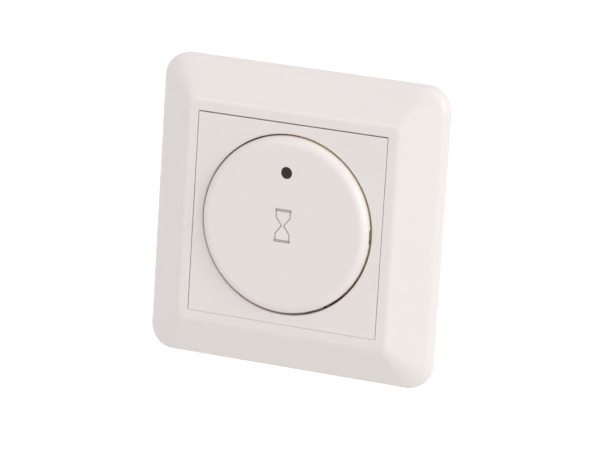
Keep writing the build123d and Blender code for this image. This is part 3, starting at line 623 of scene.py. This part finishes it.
def material(look):
    """The node material of a look: a fine noise gives the relief, and a coarse one the mottle."""
    if look in bpy.data.materials:
        return bpy.data.materials[look]
    facts = LOOKS[look]
    colours = bpy.context.scene.timer_colours
    colour = list(getattr(colours, facts["own"])) if "own" in facts else linear(facts["colour"])
    made = bpy.data.materials.new(look)
    made.diffuse_color = colour
    made.use_nodes = True
    tree = made.node_tree
    tree.nodes.clear()
    place = add(tree, "ShaderNodeTexCoord").outputs["Object"]
    grain = facts["grain"] * MM
    # A rolled sheet's relief is drawn out along X, its rolling direction
    stretch = (1 / facts.get("rolled", 1.0), 1, 1)
    drawn = add(tree, "ShaderNodeMapping", {"Vector": place, "Scale": stretch}).outputs[0]
    fine = add(tree, "ShaderNodeTexNoise", {"Vector": drawn, "Scale": 1 / grain, "Detail": 2.0})
    patch = {"Vector": place, "Scale": 1 / (MOTTLE_GRAINS * grain), "Detail": 3.0}
    coarse = add(tree, "ShaderNodeTexNoise", patch).outputs["Fac"]
    dark = [channel * (1 - facts["mottle"]) for channel in colour[:3]] + [1.0]
    light = [min(1.0, channel * (1 + facts["mottle"])) for channel in colour[:3]] + [1.0]
    mix = {"Factor": coarse, MIX_FIRST: dark, MIX_SECOND: light}
    surface = add(tree, "ShaderNodeMix", mix, data_type="RGBA").outputs[MIX_RESULT]
    # Painted warm shade in narrow gaps: mixes in the gap colour by the share that the mesh's attribute marks
    if "gap" in facts:
        share = add(tree, "ShaderNodeAttribute", attribute_name="in_gap").outputs["Fac"]
        mix = {"Factor": share, MIX_FIRST: surface, MIX_SECOND: linear(facts["gap"])}
        surface = add(tree, "ShaderNodeMix", mix, data_type="RGBA").outputs[MIX_RESULT]
    if "tracks" in facts:
        # Copper tracks 0.3 mm wide and 1.27 mm apart, in steps of the board's 2.54 mm grid, drawn as the
        # joints between long bricks
        flat = add(tree, "ShaderNodeMapping", {"Vector": place, "Rotation": (pi / 2, 0, 0)}).outputs[0]
        wall = {"Scale": 1 / (2.54 * MM), "Mortar Size": 0.06, "Brick Width": 6.0, "Row Height": 0.5}
        joints = add(tree, "ShaderNodeTexBrick", {"Vector": flat, **wall}).outputs["Fac"]
        mix = {"Factor": joints, MIX_FIRST: surface, MIX_SECOND: linear(facts["tracks"])}
        surface = add(tree, "ShaderNodeMix", mix, data_type="RGBA").outputs[MIX_RESULT]
    spread = {"Value": coarse, "To Min": facts["rough"] * SMOOTHEST, "To Max": facts["rough"] * ROUGHEST}
    rough = add(tree, "ShaderNodeMapRange", spread).outputs[0]
    bumps = {"Height": fine.outputs["Fac"], "Strength": 1.0, "Distance": facts["relief"] * MM}
    shader = add(
        tree,
        "ShaderNodeBsdfPrincipled",
        {
            "Base Color": surface,
            "Roughness": rough,
            "Normal": add(tree, "ShaderNodeBump", bumps).outputs[0],
            "Metallic": facts.get("metal", 0.0),
            "IOR": facts.get("ior", 1.5),
            "Transmission Weight": facts.get("clear", 0.0),
        },
    )
    add(tree, "ShaderNodeOutputMaterial", {"Surface": shader.outputs[0]})
    return made


# Operators
class TIMER_OT_cover_frame(bpy.types.Operator):
    """Make the square cover frame with its sloped border and the ribs behind it"""

    bl_idname = "timer.cover_frame"
    bl_label = "Cover frame"

    def execute(self, context):
        """Carries the border's profile round the square, and sets two ribs behind each border."""
        size = context.scene.timer_frame
        half = size.side / 2
        slope = atan2(size.height - size.shoulder, half - size.crest)
        # The hollow behind the border keeps the wall's thickness, square to the slope
        cavity = half - size.wall
        cavity_shoulder = size.shoulder + size.wall * (tan(slope) - 1 / cos(slope))
        cavity_top = cavity - (size.ledge_back - cavity_shoulder) / tan(slope)
        inner_corner = size.corner - size.wall
        crisp = 0.25 * MM
        edge = 0.12 * MM
        across, height, corner = rounded_profile(
            [
                (half, 0.0, size.corner, edge),
                (half, size.shoulder, size.corner, size.shoulder_round),
                (size.crest, size.height, size.crest_corner, size.crest_round),
                (size.opening, size.height, crisp, edge),
                (size.opening, size.ledge_front, crisp, edge),
                (size.ledge, size.ledge_front, crisp, edge),
                (size.ledge, size.ledge_back, crisp, edge),
                (cavity_top, size.ledge_back, size.crest_corner, 2 * edge),
                (cavity, cavity_shoulder, inner_corner, 2 * edge),
                (cavity, 0.0, inner_corner, edge),
            ],
            steps=8,
        )
        x, z = rounded_squares(across, corner, steps=16)
        shells = [skin(stand(x, z, height), loop=True)]
        for quarter in range(4):
            for side in (-1, 1):
                way, shift = quarter * pi / 2, side * size.rib_offset
                rib = box_outline(size.rib_inner, size.rib_outer, size.rib_thickness, way, shift)
                shells.append(pillar(rib, size.rib_back, size.rib_front))
        # The walls of the opening and the ledge behind it get painted warm shade
        gap = dict(low=size.ledge_back, high=size.height, reach=size.opening, **SEAM)
        new_piece("moulded_cover_frame", shells, "moulded_abs", ("cover_frame",), gap)
        return {"FINISHED"}


class TIMER_OT_centre_plate(bpy.types.Operator):
    """Make the square centre plate with its round well, collar and snap legs"""

    bl_idname = "timer.centre_plate"
    bl_label = "Centre plate"

    def execute(self, context):
        """Turns rings from circles at the collar into squares at the plate's edge, by a growing share of
        1 / max(|cos|, |sin|) in their reach, and sets the legs at the corners."""
        size = context.scene.timer_plate
        small = 0.15 * MM
        across, height, _ = rounded_profile(
            [
                (size.half_side, size.back, 0, small),
                (size.half_side, size.front, 0, size.edge),
                (size.well, size.front, 0, size.well_edge),
                (size.well, size.collar_back, 0, small),
                (size.collar, size.collar_back, 0, small),
                (size.collar, size.back, 0, small),
            ],
            steps=5,
        )
        columns = 192
        turn = np.linspace(0, 2 * pi, columns, endpoint=False)
        way_x, way_z = np.cos(turn), np.sin(turn)
        to_square = 1 / np.maximum(abs(way_x), abs(way_z))
        round_end = size.collar + 2 * small
        square_start = size.half_side - 2 * size.edge
        share = np.clip((across - round_end) / (square_start - round_end), 0, 1)
        reach = across[:, None] * (1 + share[:, None] * (to_square - 1))
        shells = [skin(stand(reach * way_x, reach * way_z - size.sag, height), loop=True)]
        leg_outer = size.leg_inner + size.leg_thickness
        for quarter in range(4):
            way = (quarter + 0.5) * pi / 2
            leg = box_outline(size.leg_inner, leg_outer, size.leg_width, way)
            hook = box_outline(size.leg_inner, leg_outer + size.hook_reach, size.leg_width, way)
            shells.append(pillar(leg, size.leg_back, size.back + small))
            shells.append(pillar(hook, size.leg_back, size.hook_front))
        # The walls of the plate's edge and its well get painted warm shade
        gap = dict(low=size.collar_back, high=size.front, reach=size.half_side, **SEAM)
        new_piece("moulded_centre_plate", shells, "moulded_abs", ("centre_plate",), gap)
        return {"FINISHED"}


class TIMER_OT_push_button(bpy.types.Operator):
    """Make the round push button with its soft rim, LED hole and pry notch"""

    bl_idname = "timer.push_button"
    bl_label = "Push button"

    def execute(self, context):
        """Turns the profile round the button, with its inner circles moved up round the LED hole, and
        adds the stem, ribs, hooks and spring posts behind the face."""
        size = context.scene.timer_button
        small = 0.12 * MM
        steps = 12
        across, height, _ = rounded_profile(
            [
                (size.radius, size.back, 0, small),
                (size.radius, size.face, 0, size.rim),
                (size.hole, size.face, 0, small),
                (size.hole, size.seat_front, 0, small / 3),
                (size.seat, size.seat_front, 0, small / 3),
                (size.seat, size.boss_back, 0, small),
                (size.boss, size.boss_back, 0, small),
                (size.boss, size.face_back, 0, small),
                (size.inner, size.face_back, 0, small),
                (size.inner, size.back, 0, small),
            ],
            steps=steps,
        )
        # Rows and columns on both sides of each edge of the notch. The first corner has steps + 3 rows
        sliver = 0.015 * MM
        low = steps + 3
        top = int(np.argmax(height > size.face - TINY)) + 1
        edges = np.array([size.notch_low, size.notch_high])
        levels = np.unique(np.concatenate([height[low:top], edges - sliver, edges + sliver]))
        rim = np.interp(levels, height[low:top], across[low:top])
        across = np.concatenate([across[:low], rim, across[top:]])
        height = np.concatenate([height[:low], levels, height[top:]])
        columns = 256
        turn = np.linspace(-pi, pi, columns, endpoint=False)
        side = asin(size.notch_half / size.radius)
        slit = sliver / size.radius
        turn = np.sort(np.append(turn, [-side - slit, -side + slit, side - slit, side + slit]))
        # Circles round the button's middle turn into circles round the LED hole
        hole_end = size.boss + 2 * small
        flat_end = size.radius - size.rim - 2 * small
        share = np.clip((flat_end - across) / (flat_end - hole_end), 0, 1)
        x = across[:, None] * np.cos(turn)
        z = across[:, None] * np.sin(turn) + share[:, None] * size.hole_offset
        # The notch is a flat pocket in the rim, facing three o'clock
        level = height[:, None]
        pocket = (abs(z) < size.notch_half) & (level > size.notch_low) & (level < size.notch_high)
        x = np.where(pocket & (x > size.notch_floor), size.notch_floor, x)
        shells = [skin(stand(x, z, height), loop=True)]
        root = size.face_back + small
        skirt = (size.inner + size.radius) / 2
        shells.append(pillar(disc_outline(0, 0, size.stem), size.stem_back, root))
        for eighth in range(8):
            rib = box_outline(0.0, skirt, size.rib_thickness, (eighth + 0.5) * pi / 4)
            shells.append(pillar(rib, size.rib_back, root))
        post_reach = size.post_offset * sqrt(2)
        for quarter in range(4):
            way = quarter * pi / 2
            hook = box_outline(skirt, size.hook_outer, size.hook_width, way)
            shells.append(pillar(hook, size.back, size.back + size.hook_thickness))
            post_x, post_z = post_reach * cos(way + pi / 4), post_reach * sin(way + pi / 4)
            shells.append(pillar(disc_outline(post_x, post_z, size.post), size.rib_back, root))
        # The rim below RING_START and the skirt get painted warm shade
        gap = dict(low=size.back, high=size.face - RING_START, reach=size.radius, **RING)
        new_piece("moulded_push_button", shells, "moulded_abs", ("push_button",), gap)
        return {"FINISHED"}


class TIMER_OT_lens(bpy.types.Operator):
    """Turn the smoked lens with its dished nose"""

    bl_idname = "timer.lens"
    bl_label = "LED lens"

    def execute(self, context):
        """Turns a profile from the middle of the back round the edge to the middle of the dish. The
        dish's depth falls off with the square of the distance from the middle."""
        size = context.scene.timer_lens
        steps = 8
        columns = 48
        reach = size.nose * np.linspace(1, 0, steps + 1)[1:-1]
        dished = size.front - size.dish * (1 - (reach / size.nose) ** 2)
        across = np.concatenate([[TINY, size.radius, size.radius, size.nose, size.nose], reach, [TINY]])
        outside = [size.back, size.back, size.step, size.step, size.front]
        height = np.concatenate([outside, dished, [size.front - size.dish]])
        turn = np.linspace(0, 2 * pi, columns, endpoint=False)
        x = across[:, None] * np.cos(turn)
        z = across[:, None] * np.sin(turn) + context.scene.timer_button.hole_offset
        shells = [skin(stand(x, z, height), loop=False)]
        new_piece("dished_led_lens", shells, "smoked_polycarbonate", ("led_lens",))
        return {"FINISHED"}


class TIMER_OT_symbol(bpy.types.Operator):
    """Print the hourglass on the button's face"""

    bl_idname = "timer.symbol"
    bl_label = "Hourglass"

    def execute(self, context):
        """Draws a bar above and below, and the two sides of the glass between them."""
        size = context.scene.timer_symbol
        face = context.scene.timer_button.face
        shells = []
        for side in (-1, 1):
            wide, inner = side * size.glass, size.half_height - size.bar
            neck = side * size.neck
            glass = [(wide, inner), (wide, size.bend), (neck, 0.0), (wide, -size.bend), (wide, -inner)]
            top, bottom = side * size.half_height, side * inner
            bar = [
                (-size.half_width, top),
                (size.half_width, top),
                (size.half_width, bottom),
                (-size.half_width, bottom),
            ]
            for path, loop in ((glass, False), (bar, True)):
                path = np.array(path) + [size.aside, size.rise]
                shells.append(printed_line(path, size.line, face - size.ink, face + size.ink, loop))
        new_piece("printed_hourglass", shells, "pad_print_ink")
        return {"FINISHED"}


class TIMER_OT_springs(bpy.types.Operator):
    """Wind the four return springs behind the button"""

    bl_idname = "timer.springs"
    bl_label = "Return springs"

    def execute(self, context):
        """Runs a wire along four helices, whose height grows evenly with the turn."""
        size = context.scene.timer_springs
        offset = context.scene.timer_button.post_offset
        steps = 28 * size.turns
        turn = np.linspace(0, 2 * pi * size.turns, steps + 1)
        height = np.linspace(size.low, size.high, len(turn))
        coil_x, coil_z = size.coil * np.cos(turn), size.coil * np.sin(turn)
        shells = []
        for x in (-offset, offset):
            for z in (-offset, offset):
                path = np.stack([x + coil_x, -height, z + coil_z], axis=-1)
                shells.append(wire(path, size.wire, sides=10))
        piece = new_piece("wound_return_springs", shells, "spring_steel", ("return_springs",))
        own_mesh(piece)
        return {"FINISHED"}


class TIMER_OT_insert(bpy.types.Operator):
    """Finish the yoke, housing, boards, terminals and electronic parts"""

    bl_idname = "timer.insert"
    bl_label = "Insert"

    def execute(self, context):
        """Gives each CAD node a finished copy, or only its look."""
        for node, (look, width) in CAD_LOOKS.items():
            if width:
                finished_copy(node, look, width * MM)
            else:
                coats = frame["nodes"][node].data.materials
                coats.clear()
                coats.append(material(look))
        return {"FINISHED"}


class TIMER_OT_stage(bpy.types.Operator):
    """Set up the floor, the soft light and the camera"""

    bl_idname = "timer.stage"
    bl_label = "Studio"

    # The soft lamps: strength, spread in degrees, colour, and the direction that each shines from
    lamps = {
        "soft_key": dict(energy=1.33, spread=40, colour=(1.0, 0.99, 0.975), way=(0.9, -0.33, 0.24)),
        "soft_top": dict(energy=0.28, spread=20, colour=(1.0, 0.79, 0.77), way=(0.15, -0.12, 0.95)),
        "soft_front": dict(energy=0.2, spread=15, colour=(1.0, 0.98, 0.97), way=(-0.38, -0.83, 0.41)),
        "low_bounce": dict(energy=0.12, spread=60, colour=(0.97, 0.94, 1.0), way=(-0.5, -0.35, -0.8)),
    }

    def execute(self, context):
        """Sets the view transform and builds the studio."""
        scene = context.scene
        scene.view_settings.view_transform = "Standard"
        self.floor(scene)
        self.light(scene)
        self.camera(scene)
        return {"FINISHED"}

    def floor(self, scene):
        """A wide pale floor. To the camera and in reflections it is lifted to white, but for the shadow."""
        size = scene.timer_studio
        edge, level = size.floor_reach, size.floor_level
        corners = [(-edge, -edge, level), (edge, -edge, level), (edge, edge, level), (-edge, edge, level)]
        mesh = bpy.data.meshes.new("studio_floor")
        mesh.from_pydata(corners, [], [(0, 1, 2, 3)])
        floor = bpy.data.objects.new("studio_floor", mesh)
        scene.collection.objects.link(floor)
        paint = bpy.data.materials.new("pale_studio_floor")
        paint.use_nodes = True
        tree = paint.node_tree
        tree.nodes.clear()
        place = add(tree, "ShaderNodeTexCoord").outputs["Object"]
        # Specks 25 mm wide, which change only how dull the paint is
        speck = add(tree, "ShaderNodeTexNoise", {"Vector": place, "Scale": 1 / (25 * MM)}).outputs["Fac"]
        rough = add(tree, "ShaderNodeMapRange", {"Value": speck, "To Min": 0.7, "To Max": 0.9}).outputs[0]
        coat = {"Color": list(scene.timer_colours.floor), "Roughness": rough}
        matt = add(tree, "ShaderNodeBsdfDiffuse", coat).outputs[0]
        glow = {"Color": WHITE, "Strength": self.seen(tree, size.floor_lift)}
        lift = add(tree, "ShaderNodeEmission", glow).outputs[0]
        both = add(tree, "ShaderNodeAddShader", {0: matt, 1: lift}).outputs[0]
        # From below, the floor is clear, so that the underside of the object can be seen
        under = add(tree, "ShaderNodeNewGeometry").outputs["Backfacing"]
        clear = add(tree, "ShaderNodeBsdfTransparent").outputs[0]
        split = add(tree, "ShaderNodeMixShader", {0: under, 1: both, 2: clear}).outputs[0]
        add(tree, "ShaderNodeOutputMaterial", {"Surface": split})
        mesh.materials.append(paint)

    def seen(self, tree, strength, otherwise=0.0):
        """A strength that only the camera, reflections and clear pieces see."""
        path = add(tree, "ShaderNodeLightPath")
        seen = path.outputs["Is Camera Ray"]
        for ray in ("Is Glossy Ray", "Is Transmission Ray"):
            both = {0: seen, 1: path.outputs[ray]}
            seen = add(tree, "ShaderNodeMath", both, operation="MAXIMUM").outputs[0]
        ends = {"Value": seen, "To Min": otherwise, "To Max": strength}
        return add(tree, "ShaderNodeMapRange", ends).outputs[0]

    def light(self, scene):
        """An even dome, which the camera sees as white, and the soft lamps."""
        world = bpy.data.worlds.new("studio_dome")
        scene.world = world
        world.use_nodes = True
        tree = world.node_tree
        tree.nodes.clear()
        strength = self.seen(tree, 1.0, otherwise=scene.timer_studio.dome)
        dome = add(tree, "ShaderNodeBackground", {"Color": WHITE, "Strength": strength})
        add(tree, "ShaderNodeOutputWorld", {"Surface": dome.outputs[0]})
        for name, facts in self.lamps.items():
            lamp = bpy.data.lights.new(name, "SUN")
            lamp.energy = facts["energy"]
            lamp.angle = radians(facts["spread"])
            lamp.color = facts["colour"]
            made = bpy.data.objects.new(name, lamp)
            scene.collection.objects.link(made)
            way = Vector(facts["way"]).normalized()
            made.rotation_euler = way.to_track_quat("Z", "Y").to_euler()
            made.location = way

    def camera(self, scene):
        """The camera stands on a line at an azimuth and elevation from the middle of the frame, is rolled
        a little, and is moved in its own plane so that the object sits as in the photograph."""
        size = scene.timer_studio
        azimuth, elevation, roll = size.azimuth, size.elevation, size.roll
        back = Vector((sin(azimuth) * cos(elevation), -cos(azimuth) * cos(elevation), sin(elevation)))
        level = Vector((0, 0, 1)).cross(back).normalized()
        upright = back.cross(level)
        right = cos(roll) * level + sin(roll) * upright
        up = cos(roll) * upright - sin(roll) * level
        data = bpy.data.cameras.new("camera")
        data.sensor_width = 36.0
        data.lens = size.lens
        data.clip_start, data.clip_end = 0.1, 20.0
        camera = bpy.data.objects.new("camera", data)
        scene.collection.objects.link(camera)
        place = right * size.aside + up * size.rise + back * size.distance
        camera.matrix_world = Matrix.Translation(place) @ Matrix((right, up, back)).transposed().to_4x4()
        scene.camera = camera


OPERATORS = [
    TIMER_OT_stage,
    TIMER_OT_cover_frame,
    TIMER_OT_centre_plate,
    TIMER_OT_push_button,
    TIMER_OT_lens,
    TIMER_OT_symbol,
    TIMER_OT_springs,
    TIMER_OT_insert,
]


class TIMER_PT_pieces(bpy.types.Panel):
    """Sizes, colours and a button for each piece"""

    bl_label = "Ventilation boost timer"
    bl_idname = "TIMER_PT_pieces"
    bl_space_type = "VIEW_3D"
    bl_region_type = "UI"
    bl_category = "Timer"

    def draw(self, context):
        """Lists each group of sizes, and then the operators."""
        for name, group in GROUPS.items():
            box = self.layout.box()
            box.label(text=group.__doc__)
            for size in group.__annotations__:
                box.prop(getattr(context.scene, name), size)
        for operator in OPERATORS:
            self.layout.operator(operator.bl_idname)


def register():
    """Registers the classes and hangs the sizes on the scene."""
    for group in GROUPS.values():
        bpy.utils.register_class(group)
    for name, group in GROUPS.items():
        setattr(bpy.types.Scene, name, bpy.props.PointerProperty(type=group))
    for made in [*OPERATORS, TIMER_PT_pieces]:
        bpy.utils.register_class(made)


def unregister():
    """Takes away what register added."""
    for made in [TIMER_PT_pieces, *reversed(OPERATORS)]:
        bpy.utils.unregister_class(made)
    for name, group in GROUPS.items():
        delattr(bpy.types.Scene, name)
        bpy.utils.unregister_class(group)


def main():
    """Builds everything: registers the classes and runs each operator."""
    register()
    for operator in OPERATORS:
        group, name = operator.bl_idname.split(".")
        getattr(getattr(bpy.ops, group), name)()


if __name__ == "__main__":
    main()
